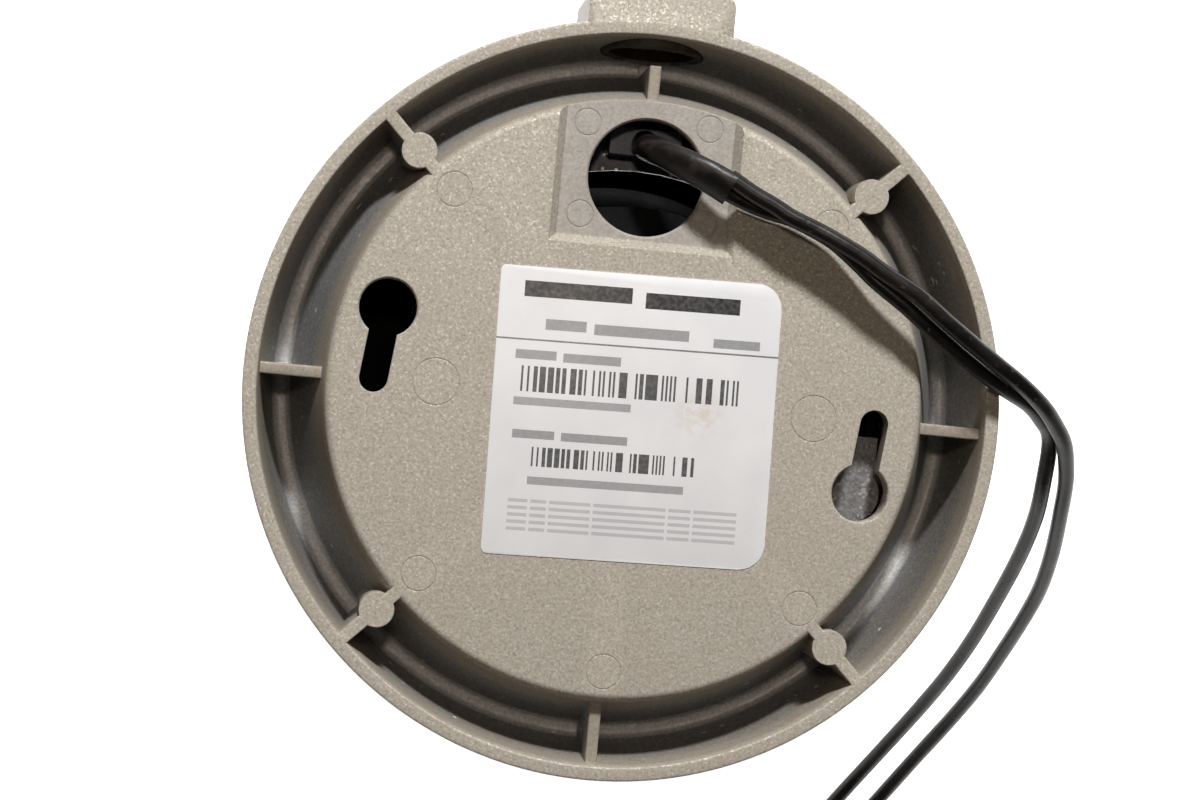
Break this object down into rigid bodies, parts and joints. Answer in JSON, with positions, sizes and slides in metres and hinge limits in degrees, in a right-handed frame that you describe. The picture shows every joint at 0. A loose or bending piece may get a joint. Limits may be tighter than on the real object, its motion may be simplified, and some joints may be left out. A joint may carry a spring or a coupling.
{
  "type": "dome cctv camera",
  "caption": "Ceiling dome security camera with a ribbed cast back, keyhole mounting slots, a side conduit entry, two pigtail leads and a gimballed zoom lens under a clear dome.",
  "frame": {"origin": "on the dome's axis, in the mounting face of the back housing", "axes": "+Z out of the back towards the ceiling, -Z out of the clear dome, +Y towards the side conduit entry"},
  "size_m": [0.1565, 0.2039, 0.1074],
  "materials": {
    "housing_paint": "fine speckled satin paint",
    "clear_polycarbonate": "clear, polished",
    "black_rubber": "satin",
    "black_plastic": "fine textured",
    "plug_plastic": "matte",
    "label_film": "satin white",
    "zinc_steel": "zinc plated, grained",
    "stainless": "bright",
    "circuit_board": "dark solder mask",
    "glass": "coated optical glass",
    "silicon": "polished",
    "nickel": "nickel plated"
  },
  "bodies": {
    "housing": {"base_housing": "housing_paint", "rating_label": "label_film", "conduit_plug": "plug_plastic", "plug_seal_ring": "black_rubber", "dome_cover": "housing_paint", "cover_o_ring": "black_rubber", "dome_bubble": "clear_polycarbonate", "bubble_gasket": "black_rubber", "bubble_clamp_ring": "zinc_steel", "cover_screw_1": "stainless", "cover_screw_2": "stainless", "cover_screw_3": "stainless", "cover_screw_4": "stainless", "clamp_screw_1": "stainless", "clamp_screw_2": "stainless", "clamp_screw_3": "stainless", "clamp_screw_4": "stainless", "pan_bracket": "zinc_steel", "bracket_screw_1": "stainless", "bracket_screw_2": "stainless", "bracket_screw_3": "stainless", "connection_board": "circuit_board", "board_screw_1": "stainless", "board_screw_2": "stainless", "loom_header": "black_plastic", "harness_header": "label_film", "capacitor": "nickel", "button_housing": "black_plastic", "gimbal_harness": "black_rubber", "cable_sleeve": "black_rubber", "video_lead": "black_rubber", "power_lead": "black_rubber", "bnc_jack": "nickel", "dc_jack": "black_plastic"},
    "osd_key": {"osd_button": "plug_plastic"},
    "pan_yoke": {"pan_turntable": "black_plastic", "pan_retainer_ring": "zinc_steel", "dome_liner": "black_plastic"},
    "tilt_frame": {"tilt_carriage": "black_plastic", "tilt_screw_left": "stainless", "tilt_screw_right": "stainless"},
    "camera_module": {"camera_cradle": "black_plastic", "board_standoff_1": "nickel", "board_standoff_2": "nickel", "board_standoff_3": "nickel", "board_standoff_4": "nickel", "sensor_board": "circuit_board", "processor_board": "circuit_board", "image_sensor": "silicon", "lens_mount": "black_plastic", "lens_barrel": "black_plastic", "front_lens": "glass", "iris_motor_cover": "black_plastic"},
    "zoom_control": {"zoom_ring": "black_plastic", "zoom_lock_screw": "stainless"},
    "focus_control": {"focus_ring": "black_plastic", "focus_lock_screw": "stainless"}
  },
  "joints": [
    {"name": "pan", "type": "hinge", "parent": "housing", "child": "pan_yoke", "pos_m": [0, 0, -0.0098], "axis": [0, 0, 1], "range_deg": [-177, 177]},
    {"name": "tilt", "type": "hinge", "parent": "pan_yoke", "child": "tilt_frame", "pos_m": [0, 0, -0.052], "axis": [1, 0, 0], "range_deg": [0, 70]},
    {"name": "roll", "type": "hinge", "parent": "tilt_frame", "child": "camera_module", "pos_m": [0, 0, -0.052], "axis": [0, 0, 1], "range_deg": [-175, 175]},
    {"name": "zoom", "type": "hinge", "parent": "camera_module", "child": "zoom_control", "pos_m": [0, 0, -0.0615], "axis": [0, 0, 1], "range_deg": [0, 70]},
    {"name": "focus", "type": "hinge", "parent": "camera_module", "child": "focus_control", "pos_m": [0, 0, -0.07575], "axis": [0, 0, 1], "range_deg": [0, 90]},
    {"name": "osd_press", "type": "slide", "parent": "housing", "child": "osd_key", "axis": [0, 0, 1], "range_m": [0, 0.0003], "stiffness_N_per_m": 600, "springref_m": -0.0006}
  ]
}
